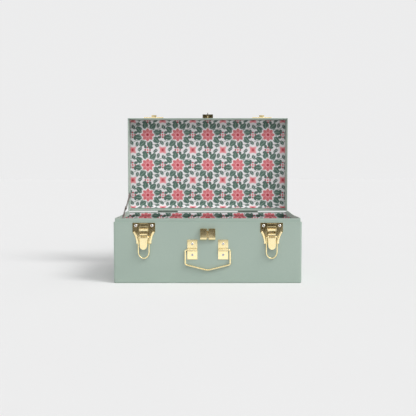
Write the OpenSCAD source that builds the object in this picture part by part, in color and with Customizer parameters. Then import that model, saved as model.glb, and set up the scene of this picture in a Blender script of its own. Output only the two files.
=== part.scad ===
/* [Overall size] */
// Width of the body and lid, left to right
body_w = 300; // [240:1:400]
// Depth of the body and lid, front to back
body_d = 174; // [140:1:240]
// Height of the main wall up to the parting step
wall_h = 98; // [80:1:140]
// Height of the inset lip above the parting step
lip_h = 6; // [4:0.5:10]
// Depth of the lid
lid_h = 32; // [24:1:50]

/* [Sheet] */
// Thickness of the tin sheet
sheet_t = 0.7; // [0.4:0.1:1.2]
// Thickness of the printed lining
lining_t = 0.4; // [0.2:0.1:1]
// How far the body lining reaches up the lip
lining_up = 5.0; // [0.5:0.1:6]
// Radius of the vertical body corners
corner_r = 3.2; // [3.2:0.1:8]
// How far the lip is set in from the wall
lip_inset = 2.0; // [1:0.1:2.2]
// How far the side lips rise towards the rear
lip_rise = 3.6; // [0:0.1:4]
// Radius of the curled bottom edge
bottom_r = 2.2; // [1:0.1:2.5]
// Outer radius of the front bend of the lid
lid_bend_r = 4; // [3:0.5:14]
// Outer radius of the rear bend of the lid
lid_rear_r = 14; // [4:0.5:18]
// Width of the hem folded inward round the lid rim
hem_w = 3.2; // [2:0.1:5]

/* [Hardware] */
// Distance of each latch from the centre
latch_x = 101.5; // [60:0.5:125]
// Distance of each hinge from the centre
hinge_x = 76; // [50:0.5:120]
// Length of each hinge
hinge_len = 38; // [20:1:60]
// Height of the hinge axis above the parting step
hinge_up = 2.5; // [0:0.1:3]
// Distance of the hinge axis behind the rear wall
hinge_out = 5.0; // [3.8:0.1:6]
// Radius of the hinge knuckles
knuckle_r = 3.0; // [2:0.1:3.4]
// Distance of each handle bracket from the centre
bracket_x = 24.5; // [18:0.5:40]
// Radius of the handle wire
bail_wire_r = 1.35; // [0.8:0.05:2.5]
// Radius of the latch loop wire
loop_wire_r = 1.0; // [0.6:0.05:1.4]
// Gap left at a closed lid rim
rim_gap = 0.2; // [0.1:0.1:1]

/* [Hidden] */
$fn = 48;

hw = body_w / 2;
hd = body_d / 2;
top_z = wall_h + lip_h;
in_r = corner_r - sheet_t;
// lid, in its closed place
lid_z0 = wall_h + rim_gap;
lid_z1 = lid_z0 + lid_h;
lid_in = hw - sheet_t;
hem_t = 1.4;
// hinge axis
axis_y = hd + hinge_out;
axis_z = wall_h + hinge_up;
// latch
pivot_v = 86;
pivot_n = 3.8;
loop_v = 74.6;
loop_len = 34.0;
loop_half = 8.5;
rivet_hole = 1.2;
// hasp
lock_v = 75.4;
lock_n = 3.7;
lock_r = 1.8;
lug_n = 6.2;
// handle
bail_v = 54;
bail_n = 3.0;
bail_half = 35.65;
// stay, on the left side only; arm planes as distances from the middle
stay_t = 1.0;
plane_out = 145.6;
plane_in = 144.5;
stay_p = [70, 135.2];
stay_e = [25, 114.4];
stay_s = [-25.8, 91.3];
stay_w = 6.4;

green = [0.63, 0.69, 0.65];
brass = [0.80, 0.64, 0.34];
steel = [0.55, 0.53, 0.51];
paper = [0.90, 0.88, 0.88];

// ---------- places ----------
// local x runs along the wall, local y is height, local z points away from the wall
module front(x) translate([x, -hd, 0]) rotate([90, 0, 0]) children();
module back(x) translate([x, hd, 0]) rotate([90, 0, 180]) children();
// the lid is described closed, then opened by a quarter turn about the hinge axis
module open_lid() translate([0, axis_y, axis_z]) rotate([-90, 0, 0]) translate([0, -axis_y, -axis_z]) children();
// a profile given as [height, distance out] and run along local x
module across(w) translate([-w / 2, 0, 0]) rotate([90, 0, 90]) linear_extrude(w) children();
module rod(v, n, w, r) translate([-w / 2, v, n]) rotate([0, 90, 0]) cylinder(h = w, r = r);

module rounded_slab(w, d, r, h) {
  linear_extrude(h) union() {
    square([w - 2 * r, d], center = true);
    square([w, d - 2 * r], center = true);
    for (sx = [-1, 1], sy = [-1, 1]) translate([sx * (w / 2 - r), sy * (d / 2 - r)]) circle(r = r);
  }
}

// ---------- body ----------
module wall_profile(flange) {
  r1 = corner_r;
  r2 = corner_r - sheet_t;
  l1 = corner_r - lip_inset;
  l2 = l1 - sheet_t;
  union() {
    polygon([[r2, bottom_r], [r1, bottom_r], [r1, wall_h], [l1, wall_h], [l1, top_z],
      [l2, top_z], [l2, wall_h - sheet_t], [r2, wall_h - sheet_t]]);
    intersection() {
      difference() {
        translate([r1 - bottom_r, bottom_r]) circle(r = bottom_r);
        translate([r1 - bottom_r, bottom_r]) circle(r = bottom_r - sheet_t);
      }
      translate([r1 - bottom_r, 0]) square([bottom_r, bottom_r]);
    }
    translate([r1 - bottom_r - flange, 0]) square([flange, sheet_t]);
  }
}

module side_run(a, len, off, flange) rotate([0, 0, a]) translate([-len / 2, off, 0]) rotate([90, 0, 90]) linear_extrude(len) wall_profile(flange);

module front_holes(r) {
  for (s = [-1, 1]) {
    front(s * latch_x) for (u = [-12.7, 12.7]) translate([u, 92.3, -3]) cylinder(h = 6, r = r);
    front(s * bracket_x) for (v = [63.4, 45.7]) translate([0, v, -3]) cylinder(h = 6, r = r);
    front(s * 6.9) translate([0, 84.6, -3]) cylinder(h = 6, r = r);
  }
}

module hinge_body_holes(r) for (s = [-1, 1]) back(s * hinge_x) for (u = [-12, 12]) translate([u, 84, -3]) cylinder(h = 6, r = r);

module body_shell() {
  color(green) difference() {
    union() {
      side_run(0, body_w - 2 * corner_r, hd - corner_r, 6);
      side_run(180, body_w - 2 * corner_r, hd - corner_r, 6);
      side_run(90, body_d - 2 * corner_r, hw - corner_r, 6);
      side_run(270, body_d - 2 * corner_r, hw - corner_r, 6);
      for (k = [0:3])
        translate([(k == 0 || k == 3 ? 1 : -1) * (hw - corner_r), (k < 2 ? 1 : -1) * (hd - corner_r), 0])
          rotate([0, 0, k * 90]) rotate_extrude(angle = 90) wall_profile(corner_r - bottom_r);
      // the side lips rise from the middle of the wall to the rear corner
      for (s = [-1, 1]) translate([s > 0 ? hw - lip_inset - sheet_t : -hw + lip_inset, 0, 0]) rotate([90, 0, 90]) linear_extrude(sheet_t)
        polygon([[-4, top_z - 1], [-4, top_z], [80.5, top_z + lip_rise], [82.4, top_z + lip_rise - 0.8], [83.2, top_z - 1]]);
    }
    front_holes(rivet_hole);
    hinge_body_holes(rivet_hole);
    translate([-hw - 1, stay_s[0], stay_s[1]]) rotate([0, 90, 0]) cylinder(h = 4, r = 1.5);
  }
}

module body_base() {
  g = corner_r - bottom_r;
  color(green) translate([0, 0, sheet_t]) rounded_slab(body_w - 2 * bottom_r - 0.4, body_d - 2 * bottom_r - 0.4, g + 0.2, sheet_t);
}

module body_lining_floor() {
  color(paper) translate([0, 0, 2 * sheet_t]) rounded_slab(body_w - 4, body_d - 4, 1.4, lining_t);
}

// the printed paper follows the wall; at the front and rear it also covers the step and most of the lip
module lining_profile(lip) {
  r2 = corner_r - sheet_t;
  l2 = corner_r - lip_inset - sheet_t;
  t = lining_t;
  z1 = wall_h - sheet_t;
  if (lip) polygon([[r2 - t, bottom_r + 0.2], [r2, bottom_r + 0.2], [r2, z1], [l2, z1], [l2, z1 + lining_up],
    [l2 - t, z1 + lining_up], [l2 - t, z1 - t], [r2 - t, z1 - t]]);
  else polygon([[r2 - t, bottom_r + 0.2], [r2, bottom_r + 0.2], [r2, z1 - t], [r2 - t, z1 - t]]);
}
module lining_run(a, len, off, lip) rotate([0, 0, a]) translate([-len / 2, off, 0]) rotate([90, 0, 90]) linear_extrude(len) lining_profile(lip);
module body_lining_walls() {
  color(paper) difference() {
    union() {
      for (a = [0, 180]) lining_run(a, body_w - 2 * corner_r, hd - corner_r, true);
      for (a = [90, 270]) lining_run(a, body_d - 2 * corner_r, hw - corner_r, false);
      for (k = [0:3])
        translate([(k == 0 || k == 3 ? 1 : -1) * (hw - corner_r), (k < 2 ? 1 : -1) * (hd - corner_r), 0])
          rotate([0, 0, k * 90]) rotate_extrude(angle = 90) lining_profile(false);
    }
    translate([-hw - 1, stay_s[0], stay_s[1]]) rotate([0, 90, 0]) cylinder(h = 5, r = 1.5);
  }
}

// ---------- lid, closed place ----------
// outline of the lid seen from the side, [y, z], shrunk by k
module lid_outline(k) {
  y = hd - k;
  z = lid_z1 - k;
  rf = lid_bend_r - k;
  rr = lid_rear_r - k;
  union() {
    translate([-y, lid_z0]) square([2 * y, z - rr - lid_z0]);
    translate([-y, lid_z0]) square([y, z - rf - lid_z0]);
    translate([-(y - rf), lid_z0]) square([2 * y - rf - rr, z - lid_z0]);
    translate([-(y - rf), z - rf]) circle(r = rf);
    translate([y - rr, z - rr]) circle(r = rr);
  }
}

module lid_run(x0, x1) translate([x0, 0, 0]) rotate([90, 0, 90]) linear_extrude(x1 - x0) children();

module strike_holes(r) for (s = [-1, 1]) front(s * latch_x) for (u = [-13, 13]) translate([u, 107, -3]) cylinder(h = 6, r = r);
module tab_holes(r) for (u = [-6, 6]) front(u) translate([0, 110, -3]) cylinder(h = 6, r = r);
module hinge_lid_holes(r) for (s = [-1, 1]) back(s * hinge_x) for (u = [-12, 12]) translate([u, 110.8, -3]) cylinder(h = 6, r = r);

module lid_wrap() {
  color(green) open_lid() difference() {
    union() {
      lid_run(-lid_in, lid_in) difference() {
        lid_outline(0);
        difference() {
          lid_outline(sheet_t);
          // the hem folded inward at the front and rear rim
          for (s = [-1, 1]) translate([s > 0 ? hd - hem_t : -hd, lid_z0 - 1]) square([hem_t, hem_w + 1]);
        }
      }
    }
    strike_holes(rivet_hole);
    tab_holes(rivet_hole);
    hinge_lid_holes(rivet_hole);
  }
}

// the end panel is flat, with a hem at the rim and a flange turned in under the wrap
module lid_end(s) {
  color(green) open_lid() difference() {
    union() {
      lid_run(s > 0 ? lid_in : -hw, s > 0 ? hw : -lid_in) lid_outline(0);
      lid_run(s > 0 ? hw - hem_t : -lid_in, s > 0 ? lid_in : -hw + hem_t) translate([-(hd - hem_t), lid_z0]) square([2 * (hd - hem_t), hem_w]);
      lid_run(s > 0 ? lid_in - 5 : -lid_in, s > 0 ? lid_in : -lid_in + 5) difference() {
        lid_outline(sheet_t);
        lid_outline(2 * sheet_t);
        translate([-hd, lid_z0 - 1]) square([body_d, lid_h - lid_rear_r + 1]);
      }
    }
    if (s < 0) stay_lid_holes(1.2);
  }
}
module lid_end_left() lid_end(-1);
module lid_end_right() lid_end(1);

module lid_lining() {
  k0 = 2 * sheet_t;
  k1 = 2 * sheet_t + lining_t;
  color(paper) open_lid() lid_run(-lid_in + 0.2, lid_in - 0.2) difference() {
    lid_outline(k0);
    lid_outline(k1);
    translate([-hd, lid_z0 - 1]) square([hd, lid_h - lid_bend_r + 1]);
    // the paper stops half way round the rear bend
    translate([0, lid_z0 - 1]) square([hd, lid_h - 6.2 + 1]);
  }
}

// ---------- hinges ----------
knuckles = 5;
pitch = hinge_len / knuckles;
module knuckle_rings(list, r) for (k = list) translate([-hinge_len / 2 + k * pitch + 0.15, axis_z, hinge_out]) rotate([0, 90, 0]) cylinder(h = pitch - 0.3, r = r);

module hinge_body_leaves() {
  color(green) for (s = [-1, 1]) back(s * hinge_x) difference() {
    union() {
      translate([-hinge_len / 2 + 0.15, 76, 0]) cube([hinge_len - 0.3, axis_z - knuckle_r - 76 - 0.3, 0.9]);
      knuckle_rings([0, 2, 4], knuckle_r);
      for (k = [0, 2, 4]) translate([-hinge_len / 2 + k * pitch + pitch / 2, 0, 0]) across(pitch - 0.3)
        polygon([[axis_z - 6, 0], [axis_z - 6, 0.9], [axis_z - knuckle_r + 0.5, hinge_out], [axis_z - 1.2, hinge_out - 1.4], [axis_z - 2, 1.3], [wall_h - 1, 0]]);
    }
    rod(axis_z, hinge_out, hinge_len + 2, 1.1);
    for (u = [-12, 12]) translate([u, 84, -1]) cylinder(h = 6, r = rivet_hole);
  }
}

module hinge_lid_leaves() {
  color(green) open_lid() for (s = [-1, 1]) back(s * hinge_x) difference() {
    union() {
      translate([-hinge_len / 2 + 0.15, axis_z + knuckle_r + 0.4, 0]) cube([hinge_len - 0.3, 11.8, 0.9]);
      // cranked foot along the whole leaf
      across(hinge_len - 0.3) polygon([[axis_z + 6.8, 0.4], [axis_z + 6.8, 0.9], [axis_z + 4.6, 2.3], [axis_z + 3.4, 2.3], [axis_z + 3.4, 0.4]]);
      knuckle_rings([1, 3], knuckle_r);
      for (k = [1, 3]) translate([-hinge_len / 2 + k * pitch + pitch / 2, 0, 0]) across(pitch - 0.3)
        polygon([[axis_z + 6, 0], [axis_z + 6, 0.9], [axis_z + knuckle_r - 0.5, hinge_out], [axis_z + 1.2, hinge_out - 1.4], [axis_z + 2, 1.3], [axis_z + 2, 0]]);
    }
    rod(axis_z, hinge_out, hinge_len + 2, 1.15);
    for (u = [-12, 12]) translate([u, 110.8, -1]) cylinder(h = 6, r = rivet_hole);
  }
}

module hinge_pins() {
  color(steel) for (s = [-1, 1]) back(s * hinge_x) union() {
    rod(axis_z, hinge_out, hinge_len + 0.6, 1.1);
    for (u = [-1, 1]) translate([u > 0 ? hinge_len / 2 : -hinge_len / 2 - 0.8, axis_z, hinge_out]) rotate([0, 90, 0]) cylinder(h = 0.8, r = 1.9);
  }
}

// a dome-headed rivet standing on a surface at distance n0 out, its shank reaching the inner sheet face
module rivet(n0, rh, hh) {
  union() {
    translate([0, 0, -sheet_t]) cylinder(h = n0 + sheet_t, r = rivet_hole);
    translate([0, 0, n0]) dome(rh, hh);
  }
}
module dome(rh, hh) {
  R = (rh * rh + hh * hh) / (2 * hh);
  intersection() {
    translate([0, 0, hh - R]) sphere(r = R);
    cylinder(h = hh + 1, r = rh);
  }
}
// a hollow rivet, its rolled head open in the middle
module eyelet(n0, rh, hh, ri) {
  difference() {
    union() {
      translate([0, 0, -sheet_t]) cylinder(h = n0 + sheet_t, r = rivet_hole);
      translate([0, 0, n0]) dome(rh, hh);
    }
    translate([0, 0, n0 - 0.4]) cylinder(h = hh + 2, r = ri);
  }
}

module hinge_body_rivets() color(steel) for (s = [-1, 1]) back(s * hinge_x) for (u = [-12, 12]) translate([u, 84, 0]) rivet(0.9, 2.2, 1);
module hinge_lid_rivets() color(steel) open_lid() for (s = [-1, 1]) back(s * hinge_x) for (u = [-12, 12]) translate([u, 110.8, 0]) rivet(0.9, 2.2, 1);

// ---------- latches ----------
module latch_plate() {
  color(brass) difference() {
    union() {
      linear_extrude(0.9) difference() {
        polygon([[-18, 97], [18, 97], [18, 82.4], [11.9, 63.4], [-11.9, 63.4], [-18, 82.4]]);
        for (s = [-1, 1]) translate([s * 44.7, 63.4]) circle(r = 32.8, $fn = 96);
      }
      // rolled edge along each hollow side
      for (s = [-1, 1]) translate([s * 44.7, 63.4, 0]) rotate([0, 0, s > 0 ? 146.5 : 1]) rotate_extrude(angle = 32.5, $fn = 96)
        polygon([[33, 0.5], [33, 0.8], [35.4, 2.1], [36.1, 1.7], [36.3, 0.5]]);
      // pressed step above the lever pin
      across(13.2) polygon([[96.2, 0.5], [95.2, 1.7], [91.4, 1.7], [90.6, 2.5], [89.5, 2.5], [89.5, 0.5]]);
      // ears for the lever pin
      for (s = [-1, 1]) translate([s * 6.45, 0, 0]) union() {
        across(0.9) polygon([[pivot_v - 3.2, 0.5], [pivot_v - 2.6, pivot_n], [pivot_v + 2.6, pivot_n], [pivot_v + 3.2, 0.5]]);
        rod(pivot_v, pivot_n, 0.9, 2.6);
      }
    }
    rod(pivot_v, pivot_n, 20, 0.9);
    for (u = [-12.7, 12.7]) translate([u, 92.3, -1]) cylinder(h = 4, r = rivet_hole);
  }
}
module latch_pin() color(steel) rod(pivot_v, pivot_n, 13.9, 0.9);
module latch_rivets() color(steel) for (u = [-12.7, 12.7]) translate([u, 92.3, 0]) eyelet(0.9, 2.5, 1.3, 0.9);

module latch_lever() {
  color(brass) difference() {
    union() {
      // pivot barrel and neck, between the ears
      rod(pivot_v, pivot_n, 11.6, 1.9);
      across(11.6) polygon([[pivot_v, pivot_n + 0.4], [pivot_v, pivot_n + 1.5], [81.5, pivot_n + 1.5], [81.5, pivot_n + 0.4]]);
      // body of the lever
      across(13.4) polygon([[82.2, pivot_n + 0.4], [82.2, pivot_n + 1.5], [72.4, pivot_n + 1.5], [72.4, pivot_n + 0.4]]);
      // rolled bar across the lever, and the eyes that hold the loop
      rod(78.7, pivot_n + 1, 11.6, 1.3);
      rod(loop_v, pivot_n, 13.4, 1.95);
      // finger tongue, curved away from the wall
      intersection() {
        across(13.4) difference() {
          translate([83.74, pivot_n + 69.72]) circle(r = 70, $fn = 96);
          translate([83.74, pivot_n + 69.72]) circle(r = 68.9, $fn = 96);
          translate([74, pivot_n - 10]) square([100, 200]);
          translate([0, pivot_n + 12]) square([150, 200]);
          translate([-10, pivot_n - 10]) square([60, 200]);
        }
        translate([0, 0, -2]) linear_extrude(20) union() {
          polygon([[-6.7, 80], [6.7, 80], [6.7, 72.6], [6.2, 70], [5.9, 61], [-5.9, 61], [-6.2, 70], [-6.7, 72.6]]);
          translate([0, 61]) circle(r = 5.9);
        }
      }
    }
    rod(pivot_v, pivot_n, 20, 0.95);
    rod(loop_v, pivot_n, 20, loop_wire_r + 0.05);
    // the two windows of the lever; the loop wire crosses the lower one
    translate([-4.7, 80.3, pivot_n - 0.5]) cube([9.4, 3.7, 4]);
    translate([-4.9, 73, pivot_n - 4]) cube([9.8, 3.6, 8]);
  }
}

function unit(a) = a / norm(a);

module latch_loop() {
  b = loop_v - loop_len;
  half = concat([[0.15, loop_v]], arc_pts([loop_half - 1.7, loop_v - 1.7], 1.7, 90, 0, 6), oval_pts([0, b + 10.5], loop_half, 10.5, 0, -90, 14));
  other = mirrored(half);
  color(brass) translate([0, 0, pivot_n]) tube(concat(half, [for (i = [1:len(other) - 1]) other[i]]), loop_wire_r, 14);
}

module latch_left_plate() front(-latch_x) latch_plate();
module latch_left_pin() front(-latch_x) latch_pin();
module latch_left_rivets() front(-latch_x) latch_rivets();
module latch_left_lever() front(-latch_x) latch_lever();
module latch_left_loop() front(-latch_x) latch_loop();
module latch_right_plate() front(latch_x) latch_plate();
module latch_right_pin() front(latch_x) latch_pin();
module latch_right_rivets() front(latch_x) latch_rivets();
module latch_right_lever() front(latch_x) latch_lever();
module latch_right_loop() front(latch_x) latch_loop();

// ---------- strikes on the lid ----------
hook_v = loop_v + loop_len;
module strike() {
  color(brass) difference() {
    union() {
      translate([-18, lid_z0 + 1, 0]) cube([36, 21.5, 1.1]);
      // bead along the rim edge of the plate
      intersection() {
        rod(lid_z0 + 1.9, 1, 36, 1);
        translate([-20, lid_z0, 0]) cube([40, 5, 4]);
      }
      // hook, open upward
      across(9) polygon([[hook_v - 4, 0.5], [hook_v - 4, 6.2], [hook_v + 2.2, 6.2], [hook_v + 2.2, 5.1], [hook_v - 2.8, 5.1], [hook_v - 2.8, 0.5]]);
    }
    for (u = [-13, 13]) translate([u, 107, -1]) cylinder(h = 4, r = rivet_hole);
  }
}
module strike_left() open_lid() front(-latch_x) strike();
module strike_right() open_lid() front(latch_x) strike();
module strike_rivets() color(steel) open_lid() for (s = [-1, 1]) front(s * latch_x) for (u = [-13, 13]) translate([u, 107, 0]) rivet(1.1, 2.2, 1.1);

// ---------- hasp ----------
module hasp_keeper() {
  color(brass) front(0) difference() {
    union() {
      translate([-12, 69.4, 0]) cube([24, 18.3, 0.9]);
      for (s = [-1, 1]) translate([s * 6.9, 0, 0]) across(10.1) lug_side(0);
      // stiffening rib between the lugs
      translate([0, 72.8, 0.75]) rotate([-90, 0, 0]) cylinder(h = 11, r = 0.45);
    }
    // the back is notched between the lugs, above and below
    translate([-1.3, 84.2, -1]) cube([2.6, 10, 8]);
    translate([-1.3, 60, -1]) cube([2.6, 12.4, 8]);
    // each lug is a pressed hood, open at the top
    for (s = [-1, 1]) translate([s * 6.9, 0, 0]) across(8.3) lug_side(0.9);
    rod(lock_v, lock_n, 30, lock_r);
    for (s = [-1, 1]) translate([s * 6.9, 84.6, -1]) cylinder(h = 4, r = rivet_hole);
  }
}
// side view of a lug, shrunk by k, as [height, distance out]
module lug_side(k) {
  intersection() {
    union() {
      translate([73.4, 0]) square([k > 0 ? 20 : 14.3, lug_n - k]);
      translate([69.4 + k, 0]) square([8, lug_n - 4]);
      translate([73.4, lug_n - 4]) circle(r = 4 - k);
    }
    translate([60, k]) square([40, 20]);
  }
}
module hasp_keeper_rivets() color(steel) front(0) for (s = [-1, 1]) translate([s * 6.9, 84.6, 0]) rivet(0.9, 2.1, 1.1);

module hasp_tab() {
  color(brass) open_lid() front(0) difference() {
    union() {
      translate([-9.7, lid_z0 + 0.6, 0]) cube([19.4, 17, 1.1]);
      translate([-9.7, lid_z0 + 0.6, 0]) cube([19.4, 1.2, 7]);
      translate([-0.7, 70.6, 1.4]) cube([1.4, lid_z0 + 1 - 70.6, 5.3]);
    }
    rod(lock_v, lock_n, 10, lock_r);
    for (u = [-6, 6]) translate([u, 110, -1]) cylinder(h = 4, r = rivet_hole);
  }
}
module hasp_tab_rivets() color(steel) open_lid() front(0) for (u = [-6, 6]) translate([u, 110, 0]) rivet(1.1, 2.1, 1.1);

// ---------- carrying handle ----------
module handle_bracket() {
  color(brass) difference() {
    union() {
      translate([-8, 38.4, 0]) cube([16, 31.6, 0.9]);
      rod(bail_v, bail_n, 14.6, bail_wire_r + 0.65);
      across(14.6) polygon([[bail_v - 2, 0.5], [bail_v - 2, bail_n], [bail_v + 2, bail_n], [bail_v + 2, 0.5]]);
    }
    rod(bail_v, bail_n, 20, bail_wire_r + 0.08);
    for (v = [63.4, 45.7]) translate([0, v, -1]) cylinder(h = 4, r = rivet_hole);
  }
}
module handle_bracket_left() front(-bracket_x) handle_bracket();
module handle_bracket_right() front(bracket_x) handle_bracket();
module handle_rivets() color(steel) for (s = [-1, 1]) front(s * bracket_x) for (v = [63.4, 45.7]) translate([0, v, 0]) eyelet(0.9, 2.2, 1.0, 0.9);
// the handle and the latch loops are wire: one tube swept along a flat path, its sides fine facets
function arc_pts(c, R, a0, a1, n) = [for (i = [0:n]) c + R * [cos(a0 + (a1 - a0) * i / n), sin(a0 + (a1 - a0) * i / n)]];
function oval_pts(c, a, b, t0, t1, n) = [for (i = [0:n]) c + [a * cos(t0 + (t1 - t0) * i / n), b * sin(t0 + (t1 - t0) * i / n)]];
function mirrored(p) = [for (i = [len(p) - 1:-1:0]) [-p[i][0], p[i][1]]];
function tangent(p, i) = unit(p[min(i + 1, len(p) - 1)] - p[max(i - 1, 0)]);
module tube(p, r, n) {
  m = len(p);
  pts = [for (i = [0:m - 1], j = [0:n - 1]) let (t = tangent(p, i), a = 360 * j / n)
    [p[i][0] - t[1] * r * cos(a), p[i][1] + t[0] * r * cos(a), r * sin(a)]];
  sides = [for (i = [0:m - 2], j = [0:n - 1], h = [0, 1]) let (k = (j + 1) % n)
    h == 0 ? [i * n + j, (i + 1) * n + j, (i + 1) * n + k] : [i * n + j, (i + 1) * n + k, i * n + k]];
  ends = [[for (j = [0:n - 1]) j], [for (j = [n - 1:-1:0]) (m - 1) * n + j]];
  polyhedron(points = pts, faces = concat(sides, ends));
}
module handle_bail() {
  slope = atan2(9, bail_half);
  low = 30.4;
  r1 = 3;
  r2 = 3.2;
  r3 = 14;
  half = concat([[17.4, bail_v]], arc_pts([bail_half - r1, bail_v - r1], r1, 90, 0, 8),
    arc_pts([bail_half - r2, low + r2 * tan((90 - slope) / 2)], r2, 0, slope - 90, 8),
    arc_pts([0, low - 9 + r3 / cos(slope)], r3, slope - 90, -90, 4));
  other = mirrored(half);
  color(brass) front(0) translate([0, 0, bail_n]) tube(concat(half, [for (i = [1:len(other) - 1]) other[i]]), bail_wire_r, 16);
}

// ---------- lid stay, on the left ----------
// an arm is drawn in the y,z plane; local x is y, local y is z, local z points to +X
module stay_plane(x) translate([x, 0, 0]) rotate([90, 0, 90]) children();
module arm(a, b, t, hole_a, hole_b) {
  l = norm(b - a);
  translate([a[0], a[1], 0]) rotate([0, 0, atan2(b[1] - a[1], b[0] - a[0])]) difference() {
    linear_extrude(t) union() {
      translate([0, -stay_w / 2]) square([l, stay_w]);
      circle(r = stay_w / 2);
      translate([l, 0]) circle(r = stay_w / 2);
    }
    if (hole_a > 0) translate([0, 0, -1]) cylinder(h = t + 2, r = hole_a);
    if (hole_b > 0) translate([l, 0, -1]) cylinder(h = t + 2, r = hole_b);
  }
}
// point p on the open lid, taken back to its closed place
function shut(p) = [axis_y - (p[1] - axis_z), axis_z + (p[0] - axis_y)];
stay_pc = shut(stay_p);

// heights of the two rivets of the bracket on the lid wall, closed place
module stay_lid_holes(r) for (v = [113, 119.6]) translate([-hw - 1, stay_pc[0], v]) rotate([0, 90, 0]) cylinder(h = 4, r = r);

module stay_lid_bracket() {
  w = 8.4;
  color(steel) open_lid() difference() {
    union() {
      // pad on the lid wall
      translate([-lid_in, stay_pc[0] - w / 2, 109.8]) cube([stay_t, w, 13]);
      // step inward above the lip
      translate([0, stay_pc[0] + w / 2, 0]) rotate([90, 0, 0]) linear_extrude(w)
        polygon([[-lid_in, 110.8], [-lid_in, 109.8], [-plane_out - stay_t, 108.2], [-plane_out - stay_t, 107.2], [-plane_out, 107.2], [-plane_out, 108.2], [-lid_in + stay_t, 109.8], [-lid_in + stay_t, 110.8]]);
      translate([-plane_out - stay_t, stay_pc[0] - w / 2, stay_pc[1]]) cube([stay_t, w, 107.6 - stay_pc[1]]);
      translate([-plane_out - stay_t, stay_pc[0], stay_pc[1]]) rotate([0, 90, 0]) cylinder(h = stay_t, r = w / 2);
    }
    stay_lid_holes(1.2);
    translate([-hw, stay_pc[0], stay_pc[1]]) rotate([0, 90, 0]) cylinder(h = 10, r = 1.3);
  }
}
module stay_lid_rivets() color(steel) open_lid() for (v = [113, 119.6]) translate([-hw, stay_pc[0], v]) rotate([0, 90, 0]) union() {
  cylinder(h = sheet_t + stay_t, r = 1.2);
  translate([0, 0, sheet_t + stay_t]) dome(2.2, 0.9);
  rotate([180, 0, 0]) dome(2.3, 0.9);
}

module stay_upper_arm() color(steel) stay_plane(-plane_in - stay_t) arm(stay_p, stay_e, stay_t, 1.38, 1.3);
// shouldered rivet on the lid bracket, carrying the upper arm
module stay_upper_pivot() color(steel) translate([0, stay_p[0], stay_p[1]]) union() {
  translate([-plane_out - stay_t, 0, 0]) rotate([0, 90, 0]) cylinder(h = plane_out + stay_t - plane_in + 0.15, r = 1.3);
  translate([-plane_in + 0.15, 0, 0]) rotate([0, 90, 0]) dome(2.4, 1);
}
module stay_elbow_rivet() color(steel) translate([0, stay_e[0], stay_e[1]]) union() {
  translate([-plane_in - stay_t, 0, 0]) rotate([0, 90, 0]) cylinder(h = stay_t, r = 1.3);
  translate([-plane_in, 0, 0]) rotate([0, 90, 0]) dome(2.4, 1);
}
module stay_lower_arm() color(steel) stay_plane(-plane_out - stay_t) arm(stay_s, stay_e, stay_t, 1.58, 0);
// rivet through the body wall, with a shoulder under the lower arm
module stay_body_pivot() color(steel) translate([0, stay_s[0], stay_s[1]]) union() {
  translate([-hw, 0, 0]) rotate([0, 90, 0]) cylinder(h = hw - plane_out + 0.15, r = 1.5);
  translate([-hw + sheet_t + lining_t, 0, 0]) rotate([0, 90, 0]) cylinder(h = hw - sheet_t - lining_t - plane_out - stay_t - 0.15, r = 2.8);
  translate([-plane_out + 0.15, 0, 0]) rotate([0, 90, 0]) dome(2.7, 0.9);
  translate([-hw, 0, 0]) rotate([0, -90, 0]) dome(2.8, 1);
}

body_shell();
body_base();
body_lining_floor();
body_lining_walls();
lid_wrap();
lid_end_left();
lid_end_right();
lid_lining();
hinge_body_leaves();
hinge_lid_leaves();
hinge_pins();
hinge_body_rivets();
hinge_lid_rivets();
latch_left_plate();
latch_left_pin();
latch_left_rivets();
latch_left_lever();
latch_left_loop();
latch_right_plate();
latch_right_pin();
latch_right_rivets();
latch_right_lever();
latch_right_loop();
strike_left();
strike_right();
strike_rivets();
hasp_keeper();
hasp_keeper_rivets();
hasp_tab();
hasp_tab_rivets();
handle_bracket_left();
handle_bracket_right();
handle_rivets();
handle_bail();
stay_lid_bracket();
stay_lid_rivets();
stay_upper_arm();
stay_upper_pivot();
stay_elbow_rivet();
stay_lower_arm();
stay_body_pivot();
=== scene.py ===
import math

import bpy
import bmesh
from mathutils import Vector, Matrix

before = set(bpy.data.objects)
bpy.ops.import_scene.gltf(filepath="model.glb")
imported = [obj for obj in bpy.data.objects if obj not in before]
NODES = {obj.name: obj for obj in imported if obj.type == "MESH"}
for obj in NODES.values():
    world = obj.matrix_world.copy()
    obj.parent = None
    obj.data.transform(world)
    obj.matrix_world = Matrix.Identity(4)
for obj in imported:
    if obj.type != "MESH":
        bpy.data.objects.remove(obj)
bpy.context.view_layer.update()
scene = bpy.context.scene
scene.view_settings.view_transform = "Standard"
scene.view_settings.look = "None"

# sizes of the trunk in metres
HW, HD = 0.150, 0.087
AXIS_Y, AXIS_Z = 0.092, 0.1005
LID_BACK = AXIS_Y + 0.1302 - AXIS_Z          # outer face of the open lid's panel
LID_TOP = AXIS_Z + AXIS_Y + HD               # outer top face of the open lid
LID_LOW = AXIS_Z + AXIS_Y - HD               # outer lower face of the open lid


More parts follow.
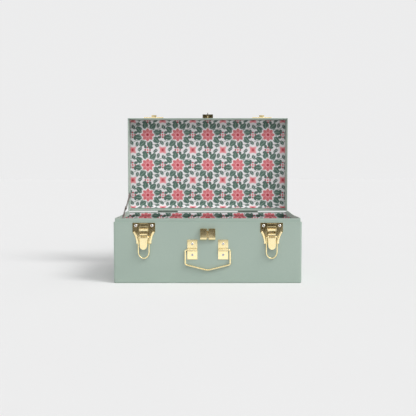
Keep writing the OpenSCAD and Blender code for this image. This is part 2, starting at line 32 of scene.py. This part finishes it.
# ---------------------------------------------------------------- node helpers
class Tree:
    """A material's node tree with a short way to write sums on its values."""

    def __init__(self, name):
        m = bpy.data.materials.new(name)
        m.use_nodes = True
        self.m = m
        self.t = m.node_tree
        self.n = self.t.nodes
        self.bsdf = self.n["Principled BSDF"]

    def link(self, a, b):
        self.t.links.new(a, b)

    def coord(self):
        return self.n.new("ShaderNodeTexCoord").outputs["Object"]

    def split(self, v):
        s = self.n.new("ShaderNodeSeparateXYZ")
        self.link(v, s.inputs[0])
        return [V(self, s.outputs[i]) for i in range(3)]

    def join(self, x, y, z=0.0):
        c = self.n.new("ShaderNodeCombineXYZ")
        for i, a in enumerate((x, y, z)):
            if isinstance(a, V):
                self.link(a.s, c.inputs[i])
            else:
                c.inputs[i].default_value = a
        return c.outputs[0]

    def noise(self, vec, scale, detail=3.0, rough=0.55, dist=0.0):
        k = self.n.new("ShaderNodeTexNoise")
        k.inputs["Scale"].default_value = scale
        k.inputs["Detail"].default_value = detail
        k.inputs["Roughness"].default_value = rough
        k.inputs["Distortion"].default_value = dist
        self.link(vec, k.inputs["Vector"])
        return V(self, k.outputs["Fac"])

    def voronoi(self, vec, scale, feature="F1"):
        k = self.n.new("ShaderNodeTexVoronoi")
        k.feature = feature
        k.inputs["Scale"].default_value = scale
        self.link(vec, k.inputs["Vector"])
        return V(self, k.outputs["Distance"])

    def stretch(self, vec, x, y, z):
        k = self.n.new("ShaderNodeMapping")
        k.inputs["Scale"].default_value = (x, y, z)
        self.link(vec, k.inputs["Vector"])
        return k.outputs[0]

    def ramp(self, v, stops):
        r = self.n.new("ShaderNodeValToRGB")
        e = r.color_ramp.elements
        while len(e) < len(stops):
            e.new(0.5)
        for i, (p, c) in enumerate(stops):
            e[i].position = p
            e[i].color = (*c, 1.0)
        self.link(v.s, r.inputs[0])
        return r.outputs[0]

    def mix(self, f, a, b):
        k = self.n.new("ShaderNodeMix")
        k.data_type = "RGBA"
        if isinstance(f, V):
            self.link(f.s, k.inputs[0])
        else:
            k.inputs[0].default_value = f
        for sock, c in ((k.inputs[6], a), (k.inputs[7], b)):
            if isinstance(c, tuple):
                sock.default_value = (*c, 1.0)
            else:
                self.link(c, sock)
        return k.outputs[2]

    def bump(self, parts):
        """parts: list of (height value, strength, distance in metres)"""
        last = None
        for h, s, d in parts:
            b = self.n.new("ShaderNodeBump")
            b.inputs["Strength"].default_value = s
            b.inputs["Distance"].default_value = d
            self.link(h.s, b.inputs["Height"])
            if last is not None:
                self.link(last, b.inputs["Normal"])
            last = b.outputs[0]
        self.link(last, self.bsdf.inputs["Normal"])

    def put(self, name, v):
        s = self.bsdf.inputs[name]
        if isinstance(v, V):
            self.link(v.s, s)
        elif isinstance(v, (int, float)):
            s.default_value = v
        elif isinstance(v, tuple):
            s.default_value = (*v, 1.0)
        else:
            self.link(v, s)


class V:
    def __init__(self, tree, sock):
        self.tr, self.s = tree, sock

    def op(self, kind, b=None, c=None, clamp=False):
        k = self.tr.n.new("ShaderNodeMath")
        k.operation = kind
        k.use_clamp = clamp
        for i, a in enumerate((self, b, c)):
            if a is None:
                continue
            if isinstance(a, V):
                self.tr.link(a.s, k.inputs[i])
            else:
                k.inputs[i].default_value = a
        return V(self.tr, k.outputs[0])

    def __add__(self, b):
        return self.op("ADD", b)

    def __radd__(self, b):
        return self.op("ADD", b)

    def __sub__(self, b):
        return self.op("SUBTRACT", b)

    def __rsub__(self, b):
        return (self * -1.0) + b

    def __mul__(self, b):
        return self.op("MULTIPLY", b)

    def __rmul__(self, b):
        return self.op("MULTIPLY", b)

    def __truediv__(self, b):
        return self.op("DIVIDE", b)

    def abs(self):
        return self.op("ABSOLUTE")

    def frac(self):
        return self.op("FRACT")

    def floor(self):
        return self.op("FLOOR")

    def sin(self):
        return self.op("SINE")

    def cos(self):
        return self.op("COSINE")

    def sqrt(self):
        return self.op("SQRT")

    def atan2(self, b):
        return self.op("ARCTAN2", b)

    def min(self, b):
        return self.op("MINIMUM", b)

    def max(self, b):
        return self.op("MAXIMUM", b)

    def wrap(self, lo, hi):
        return self.op("WRAP", hi, lo)

    def clamp(self):
        return self.op("ADD", 0.0, clamp=True)

    def gt(self, b):
        return self.op("GREATER_THAN", b)

    def map(self, a, b, c=0.0, d=1.0, smooth=False):
        k = self.tr.n.new("ShaderNodeMapRange")
        k.interpolation_type = "SMOOTHSTEP" if smooth else "LINEAR"
        k.clamp = True
        for i, x in enumerate((a, b, c, d)):
            k.inputs[i + 1].default_value = x
        self.tr.link(self.s, k.inputs[0])
        return V(self.tr, k.outputs[0])


def srgb(r, g, b):
    f = lambda c: (c / 255 / 12.92) if c / 255 <= 0.04045 else ((c / 255 + 0.055) / 1.055) ** 2.4
    return (f(r), f(g), f(b))


# ---------------------------------------------------------------- materials
def paint():
    t = Tree("satin_sage_enamel")
    co = t.coord()
    cloud = t.noise(co, 9.0, 3.0)
    fine = t.noise(co, 420.0, 2.0, 0.5)
    peel = t.noise(co, 950.0, 1.0, 0.5)
    speck = t.voronoi(co, 260.0)
    base = t.ramp(cloud, [(0.32, (0.300, 0.378, 0.326)), (0.68, (0.318, 0.398, 0.344))])
    base = t.mix(fine.map(0.35, 0.7) * 0.35, base, (0.294, 0.371, 0.320))
    dust = speck.map(0.03, 0.075, 1.0, 0.0) * t.noise(co, 31.0, 2.0).map(0.56, 0.7)
    base = t.mix(dust * 0.20, base, (0.44, 0.48, 0.45))
    t.put("Base Color", base)
    t.put("Roughness", cloud.map(0.3, 0.7, 0.40, 0.47) + fine * 0.05)
    t.put("Specular IOR Level", 0.42)
    t.put("Coat Weight", 0.12)
    t.put("Coat Roughness", 0.22)
    # fine powdery haze of the satin finish
    t.put("Sheen Weight", 1.0)
    t.put("Sheen Roughness", 0.38)
    t.put("Sheen Tint", (0.78, 0.92, 0.83))
    t.bump([(peel, 0.22, 0.00003), (t.noise(co, 55.0, 2.0), 0.10, 0.00012), (dust, 0.2, 0.00006)])
    return t.m


def brass(name="lacquered_brass", painted_crevice_shade=1.0):
    t = Tree(name)
    co = t.coord()
    cloud = t.noise(co, 60.0, 3.0)
    line = t.noise(t.stretch(co, 2600.0, 2600.0, 90.0), 1.0, 2.0, 0.6)
    pit = t.noise(co, 1500.0, 2.0, 0.6)
    geo = t.n.new("ShaderNodeAmbientOcclusion")
    geo.inputs["Distance"].default_value = 0.003
    occ = V(t, geo.outputs["AO"])
    base = t.ramp(cloud, [(0.3, (0.915, 0.765, 0.425)), (0.7, (0.95, 0.82, 0.50))])
    # painted shade: the base colour turns dark brown where ambient occlusion finds crevices and hollows
    base = t.mix(occ.map(0.2, 0.85, 0.55 * painted_crevice_shade, 0.0), base, (0.36, 0.22, 0.07))
    t.put("Base Color", base)
    t.put("Metallic", 1.0)
    t.put("Roughness", cloud.map(0.3, 0.7, 0.07, 0.12) + line * 0.04 + occ.map(0.3, 0.9, 0.08, 0.0))
    t.bump([(line, 0.08, 0.00002), (pit, 0.10, 0.00002), (t.noise(co, 95.0, 2.0), 0.10, 0.00020)])
    return t.m


def steel(name, lo, hi, r0, r1):
    t = Tree(name)
    co = t.coord()
    cloud = t.noise(co, 240.0, 3.0)
    pit = t.noise(co, 2200.0, 2.0, 0.6)
    line = t.noise(t.stretch(co, 500.0, 500.0, 2600.0), 1.0, 2.0, 0.6)
    ao = t.n.new("ShaderNodeAmbientOcclusion")
    ao.inputs["Distance"].default_value = 0.0022
    occ = V(t, ao.outputs["AO"])
    grime = t.noise(co, 700.0, 2.0)
    base = t.ramp(cloud, [(0.3, lo), (0.7, hi)])
    # painted shade and dirt: near black where ambient occlusion finds crevices and rivet bores (painted shade), plus
    # random grime patches (dirt)
    base = t.mix(occ.map(0.30, 0.72, 0.97, 0.0) + grime.map(0.62, 0.8, 0.0, 0.25), base, (0.034, 0.026, 0.022))
    t.put("Base Color", base)
    t.put("Metallic", 1.0)
    t.put("Roughness", cloud.map(0.3, 0.7, r0, r1) + line * 0.06)
    t.bump([(pit, 0.15, 0.00002), (line, 0.08, 0.00002)])
    return t.m


WHITE = srgb(233, 230, 232)
LEAF = srgb(78, 106, 95)
LEAF2 = srgb(100, 130, 117)
CORAL = srgb(212, 92, 100)
PINK = srgb(236, 168, 174)
RED = srgb(164, 24, 48)


def printed(name, u, v, margin=None, tree=None):
    """Botanical print in the plane u, v (values in mm). Round eight-petal daisies and small
    four-petal blossoms stand on a square lattice, joined by wreaths of leaves and berries."""
    t = tree
    co = t.coord()
    wob = t.noise(t.join(u * 0.11, v * 0.11), 1.0, 2.0)
    uu = u + (wob - 0.5) * 1.6
    vv = v + (t.noise(t.join(v * 0.11, u * 0.11, 7.0), 1.0, 2.0) - 0.5) * 1.6
    P = 58.0
    soft = 0.30

    def cell(ox, oy, p=P):
        return (uu + ox).wrap(-p / 2, p / 2), (vv + oy).wrap(-p / 2, p / 2)

    def polar(x, y):
        return (x * x + y * y).sqrt(), y.atan2(x)

    def inside(d):
        return d.map(-soft, soft, 1.0, 0.0)

    def fold(th, n, off=0.0):
        w = 2 * math.pi / n
        return (th + off).wrap(-w / 2, w / 2).abs()

    def leafd(r, th, r0, r1, w, n, off=0.0, lean=0.0):
        """distance-like value of n leaves on rays, from r0 to r1, w wide"""
        a = (th + off).wrap(-math.pi / n, math.pi / n) if not isinstance(lean, V) else None
        a = a + (r - r0) * lean
        x = r * a.cos()
        y = (r * a.sin()).abs()
        m, h = (r0 + r1) / 2, (r1 - r0) / 2
        q = (x - m) / h
        edge = (1.0 - q * q).max(-1.0) * (w / 2) + q * (w * 0.10)
        return y - edge, y, x

    col = t.mix(0.0, WHITE, WHITE)
    grain = t.noise(t.join(u, v), 1.4, 3.0)
    # paper white with faint printing tone
    col = t.mix(grain.map(0.35, 0.75) * 0.5, WHITE, srgb(226, 224, 228))

    ax, ay = cell(0.0, 0.0)
    bx, by = cell(P / 2, P / 2)
    ra, ta = polar(ax, ay)
    rb, tb = polar(bx, by)
    cx, cy = cell(P / 2, 0.0)
    dx, dy = cell(0.0, P / 2)
    rc, tc = polar(cx, cy)
    rd, td = polar(dx, dy)

    # curling stems between the flowers
    stem = ((uu * (2 * math.pi / P)).sin() * 4.6 + (vv + P / 4).wrap(-P / 4, P / 4)).abs() - 0.55
    stem2 = ((vv * (2 * math.pi / P)).sin() * 4.6 + (uu + P / 4).wrap(-P / 4, P / 4)).abs() - 0.55
    col = t.mix(inside(stem.min(stem2)) * 0.9, col, LEAF2)

    # a pale leaf spray behind the wreath
    l0, y0, x0 = leafd(ra, ta, 13.0, 27.0, 7.4, 8, 0.0, -0.020)
    col = t.mix(inside(l0), col, t.mix(inside(y0 - 0.25), LEAF2, srgb(190, 206, 196)))
    # big leaves round the daisies
    l1, y1, x1 = leafd(ra, ta, 11.4, 26.0, 9.8, 8, math.pi / 8, 0.016)
    vein = inside(y1 - 0.28)
    rib = ((x1 + y1 * 0.9) * 0.52).wrap(-0.5, 0.5).abs().map(0.10, 0.2, 1.0, 0.0)
    leafc = t.mix(rib * 0.5, LEAF, LEAF2)
    leafc = t.mix(vein * 0.8, leafc, srgb(178, 198, 186))
    col = t.mix(inside(l1), col, leafc)
    # small pale leaves round the blossoms
    l2, y2, x2 = leafd(rb, tb, 8.4, 18.8, 6.4, 8, 0.0, -0.02)
    col = t.mix(inside(l2), col, t.mix(inside(y2 - 0.22), LEAF, WHITE))
    # leaf pairs beside the berry sprigs
    for (r, th) in ((rc, tc), (rd, td)):
        l3, y3, x3 = leafd(r, th, 3.0, 11.6, 5.6, 4, math.pi / 4, 0.03)
        col = t.mix(inside(l3), col, t.mix(inside(y3 - 0.2), LEAF, LEAF2))
        berry = (r - 3.0).abs()
        dots = fold(th, 4)
        bd = ((r * dots.cos() - 4.6) * (r * dots.cos() - 4.6) + (r * dots.sin()) * (r * dots.sin())).sqrt()
        col = t.mix(inside(bd - 1.75), col, RED)
        col = t.mix(inside(bd - 0.5), col, PINK)
        col = t.mix(inside(r - 1.7), col, CORAL)
    # daisies
    pet = (ta * 8.0).cos()
    edge = ra - (pet * 1.5 + 11.0)
    col = t.mix(inside(edge - 1.1), col, WHITE)
    petal = t.mix((t.noise(t.join(u, v), 0.9, 2.0).map(0.42, 0.62)) * 0.55, CORAL, PINK)
    split = ((ta * 4.0).cos().abs() * ra).map(0.0, 1.3, 1.0, 0.0) * ra.map(4.4, 5.2)
    petal = t.mix(split * 0.85, petal, srgb(248, 214, 216))
    col = t.mix(inside(edge), col, petal)
    ring = (ta * 16.0).cos() * 0.35 + 4.5
    col = t.mix(inside(ra - ring), col, PINK)
    col = t.mix(inside(ra - 3.1), col, CORAL)
    col = t.mix(inside(ra - 1.5), col, RED)
    # blossoms with four notched petals
    pb = (tb * 4.0 + math.pi).cos() * 1.9 + 6.6
    notch = (tb * 8.0).cos() * 0.35
    eb = rb - (pb + notch)
    col = t.mix(inside(eb - 0.8), col, WHITE)
    col = t.mix(inside(eb), col, t.mix(rb.map(1.5, 6.5), CORAL, PINK))
    col = t.mix(inside(rb - 1.5), col, RED)
    if margin is not None:
        col = t.mix(margin, col, WHITE)
    t.put("Base Color", col)
    fib = t.noise(co, 1300.0, 3.0, 0.6)
    t.put("Roughness", fib.map(0.3, 0.7, 0.50, 0.62))
    t.put("Specular IOR Level", 0.3)
    t.bump([(fib, 0.10, 0.00003), (t.noise(co, 38.0, 2.0), 0.18, 0.00025)])
    return t.m


def lid_print():
    t = Tree("printed_paper_lid")
    x, y, z = [a * 1000.0 for a in t.split(t.coord())]
    back = LID_BACK * 1000 - 1.8
    mid = (LID_TOP + LID_LOW) * 500
    side = (z - mid).gt(0.0) * 2.0 - 1.0
    v = z + side * (back - y) - mid
    return printed("lid", x, v, tree=t)


def wall_print():
    t = Tree("printed_paper_walls")
    x, y, z = [a * 1000.0 for a in t.split(t.coord())]
    side = x.gt(0.0) * 2.0 - 1.0
    run = x + side * (84.0 - y)
    front = (y * -1.0).gt(83.2)
    u = run * (1.0 - front) + (468.0 - x) * front
    v = z - 92.0
    top = z.map(102.0, 102.3)
    return printed("walls", u, v, margin=top, tree=t)


def floor_print():
    t = Tree("printed_paper_floor")
    x, y, z = [a * 1000.0 for a in t.split(t.coord())]
    return printed("floor", x, y + 7.0, tree=t)


SAGE = paint()
BRASS = brass()
RIVET = steel("rivet_nickel", (0.74, 0.72, 0.70), (0.84, 0.83, 0.82), 0.14, 0.22)
STAY = steel("stay_steel_bare", (0.40, 0.37, 0.35), (0.52, 0.48, 0.46), 0.28, 0.38)
PRINT_LID = lid_print()
PRINT_WALL = wall_print()
PRINT_FLOOR = floor_print()


def finish_for(n):
    if n == "lid_lining":
        return PRINT_LID
    if n == "body_lining_walls":
        return PRINT_WALL
    if n == "body_lining_floor":
        return PRINT_FLOOR
    if n in ("body_shell", "body_base", "lid_wrap", "lid_end_left", "lid_end_right", "hinge_body_leaves", "hinge_lid_leaves",
             "hinge_body_rivets", "hinge_lid_rivets"):
        return SAGE
    if n.startswith("stay_"):
        return STAY
    if "rivets" in n or n in ("hinge_pins", "latch_left_pin", "latch_right_pin"):
        return RIVET
    return BRASS


def edge_round(o, width, segments=2, angle=35):
    """Joins the flat facets into whole faces, rounds the sheared edges and keeps the flats flat."""
    w = o.modifiers.new("weld", "WELD")
    w.merge_threshold = 2e-6
    if width:
        f = o.modifiers.new("flats", "DECIMATE")
        f.decimate_type = "DISSOLVE"
        f.angle_limit = math.radians(0.4)
        b = o.modifiers.new("edge", "BEVEL")
        b.width = width
        b.segments = segments
        b.limit_method = "ANGLE"
        b.angle_limit = math.radians(angle)
        b.harden_normals = False
        b.use_clamp_overlap = True
    n = o.modifiers.new("normals", "WEIGHTED_NORMAL")
    n.mode = "FACE_AREA"
    n.keep_sharp = False
    n.weight = 100


BEVEL = {"body_shell": 0.00028, "body_base": 0, "body_lining_floor": 0, "body_lining_walls": 0, "lid_lining": 0,
         "lid_wrap": 0.00028, "lid_end_left": 0.00028, "lid_end_right": 0.00028, "handle_bail": 0,
         "handle_bracket_left": 0.00012, "handle_bracket_right": 0.00012}

for n, o in NODES.items():
    o.data.materials.clear()
    o.data.materials.append(finish_for(n))
    for p in o.data.polygons:
        p.use_smooth = True
    edge_round(o, BEVEL.get(n, 0.00022), 2)

# ---------------------------------------------------------------- stage
def stage_material(name, albedo, rough):
    t = Tree(name)
    co = t.coord()
    k = t.noise(co, 3.0, 3.0)
    t.put("Base Color", t.ramp(k, [(0.2, tuple(albedo - 0.004 for _ in range(3))), (0.8, tuple(albedo + 0.004 for _ in range(3)))]))
    t.put("Roughness", k.map(0.2, 0.8, rough - 0.03, rough + 0.03))
    t.put("Specular IOR Level", 0.0)
    return t.m


def quad(name, corners, mat):
    me = bpy.data.meshes.new(name)
    me.from_pydata([tuple(c) for c in corners], [], [(0, 1, 2, 3)])
    me.materials.append(mat)
    o = bpy.data.objects.new(name, me)
    scene.collection.objects.link(o)
    return o


floor = quad("studio_floor", [(-40, -40, 0), (40, -40, 0), (40, 40, 0), (-40, 40, 0)], stage_material("pale_floor", 0.80, 0.9))


def glow(name, value):
    m = bpy.data.materials.new(name)
    m.use_nodes = True
    nt = m.node_tree
    nt.nodes.clear()
    e = nt.nodes.new("ShaderNodeEmission")
    e.inputs[0].default_value = (value[0], value[1], value[2], 1)
    e.inputs[1].default_value = 1.0
    out = nt.nodes.new("ShaderNodeOutputMaterial")
    nt.links.new(e.outputs[0], out.inputs[0])
    return m


def card(name, centre, right, up, w, h, value):
    """A studio card or soft box that only shows in reflections."""
    c, r, u = Vector(centre), Vector(right).normalized(), Vector(up).normalized()
    pts = [c - r * w / 2 - u * h / 2, c + r * w / 2 - u * h / 2, c + r * w / 2 + u * h / 2, c - r * w / 2 + u * h / 2]
    o = quad(name, pts, glow(name + "_light", value))
    o.visible_camera = False
    o.visible_diffuse = False
    o.visible_shadow = False
    o.visible_transmission = False
    o.visible_volume_scatter = False
    return o


cards = [
    # white table top in front of the trunk, its dark far edge, and the large soft box beyond
    card("table_near", (0, -0.45, 0.002), (1, 0, 0), (0, 1, 0), 1.6, 0.50, (1.22, 1.23, 1.22)),
    card("table_edge", (0, -0.76, 0.055), (1, 0, 0), (0, 0, 1), 2.4, 0.11, (0.060, 0.048, 0.030)),
    card("box_front", (0, -1.30, 0.915), (1, 0, 0), (0, 0, 1), 1.8, 1.57, (1.02, 1.03, 1.02)),
    card("flag_top", (0, -0.30, 0.330), (1, 0, 0), (0, 0, 1), 0.12, 0.07, (0.020, 0.016, 0.010)),
    card("flag_top_left", (-0.10, -0.30, 0.330), (1, 0, 0), (0, 0, 1), 0.08, 0.07, (0.32, 0.27, 0.22)),
    card("flag_top_right", (0.10, -0.30, 0.330), (1, 0, 0), (0, 0, 1), 0.08, 0.07, (0.32, 0.27, 0.22)),
    card("box_right", (1.5, -0.9, 1.1), (0.5, 0.85, 0), (-0.4, 0.2, 0.9), 1.0, 1.2, (2.4, 2.4, 2.4)),
    card("side_left", (-1.1, -0.45, 0.45), (0, 1, 0), (0, 0, 1), 1.1, 0.9, (1.35, 1.35, 1.33)),
    card("side_right", (1.1, -0.45, 0.45), (0, 1, 0), (0, 0, 1), 1.1, 0.9, (1.35, 1.35, 1.33)),
]

AMBIENT = 0.45
world = bpy.data.worlds.new("studio")
scene.world = world
world.use_nodes = True
wt = world.node_tree
bg = wt.nodes["Background"]
path = wt.nodes.new("ShaderNodeLightPath")
level = wt.nodes.new("ShaderNodeMapRange")
level.inputs["To Min"].default_value = AMBIENT
level.inputs["To Max"].default_value = 0.842
wt.links.new(path.outputs["Is Camera Ray"], level.inputs["Value"])
wt.links.new(level.outputs[0], bg.inputs[1])
bg.inputs[0].default_value = (1.0, 1.0, 1.004, 1)


def sun(name, strength, spread, azimuth, elevation):
    """azimuth is to the viewer's right of straight in front"""
    light = bpy.data.lights.new(name, "SUN")
    light.energy = strength
    light.angle = math.radians(spread)
    o = bpy.data.objects.new(name, light)
    scene.collection.objects.link(o)
    a, e = math.radians(azimuth), math.radians(elevation)
    d = Vector((math.sin(a) * math.cos(e), -math.cos(a) * math.cos(e), math.sin(e)))
    o.rotation_mode = "QUATERNION"
    o.rotation_quaternion = d.to_track_quat("Z", "Y")
    return o


sun("key", 1.64, 26, 60, 45)
sun("front", 1.14, 44, 8, 42)

cam = bpy.data.cameras.new("camera")
cam.lens = 50.71
cam.sensor_width = 36
cam.clip_start = 0.01
cam.clip_end = 200
co = bpy.data.objects.new("camera", cam)
scene.collection.objects.link(co)
co.location = (0.00042, -1.0154, 0.1700)
co.rotation_euler = (math.radians(90 - 3.06), 0, 0)
scene.camera = co

bpy.context.view_layer.update()
